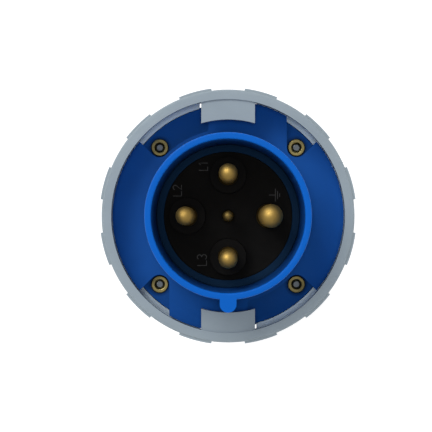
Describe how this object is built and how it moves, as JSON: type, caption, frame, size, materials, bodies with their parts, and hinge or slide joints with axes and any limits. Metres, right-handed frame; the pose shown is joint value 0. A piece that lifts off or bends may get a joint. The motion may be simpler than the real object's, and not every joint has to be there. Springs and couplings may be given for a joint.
{
  "type": "industrial pin and sleeve plug",
  "caption": "Round blue industrial plug with a keyed sleeve around domed brass pins, a grey bayonet locking ring, a ribbed tapered grip and a fluted cable gland nut.",
  "frame": {"origin": "centre of the gland nut's rear face, where the plug stands", "axes": "+Z along the plug's axis towards the pins, +X towards the earth pin, key of the sleeve at -Y"},
  "size_m": [0.111, 0.111, 0.24],
  "materials": {
    "blue_housing": "moulded nylon, satin",
    "grey_ring": "moulded nylon, satin",
    "black_insulator": "moulded thermoset, matt",
    "contact_brass": "turned brass, bright",
    "insert_brass": "turned brass, dull",
    "screw_steel": "zinc plated",
    "seal_rubber": "soft rubber"
  },
  "bodies": {
    "housing": {"front_housing": "blue_housing", "rear_housing": "blue_housing", "contact_carrier": "black_insulator", "carrier_back_plate": "black_insulator", "terminal_block": "black_insulator", "pin_l1": "contact_brass", "pin_l2": "contact_brass", "pin_l3": "contact_brass", "earth_pin": "contact_brass", "pilot_pin": "contact_brass", "threaded_inserts": "insert_brass", "assembly_screws": "screw_steel", "terminal_screws": "screw_steel", "pilot_screw": "screw_steel", "carrier_screws": "screw_steel", "retaining_clip": "screw_steel", "housing_seal": "seal_rubber", "gland_seal": "seal_rubber"},
    "ring": {"locking_ring": "grey_ring"},
    "gland_follower": {"thrust_washer": "screw_steel", "clamping_cage": "grey_ring"},
    "nut": {"gland_nut": "grey_ring"}
  },
  "joints": [
    {"name": "ring_turn", "type": "hinge", "parent": "housing", "child": "ring", "pos_m": [0, 0, 0.18], "axis": [0, 0, 1], "range_deg": [0, 40]},
    {"name": "gland_slide", "type": "slide", "parent": "housing", "child": "gland_follower", "axis": [0, 0, -1], "range_m": [0, 0.0075]},
    {"name": "nut_turn", "type": "hinge", "parent": "gland_follower", "child": "nut", "pos_m": [0, 0, 0.02], "axis": [0, 0, -1], "range_deg": [0, 900]}
  ],
  "couplings": [
    {"joint": "gland_slide", "follows": "nut_turn", "m_per_rad": 0.00047746}
  ]
}
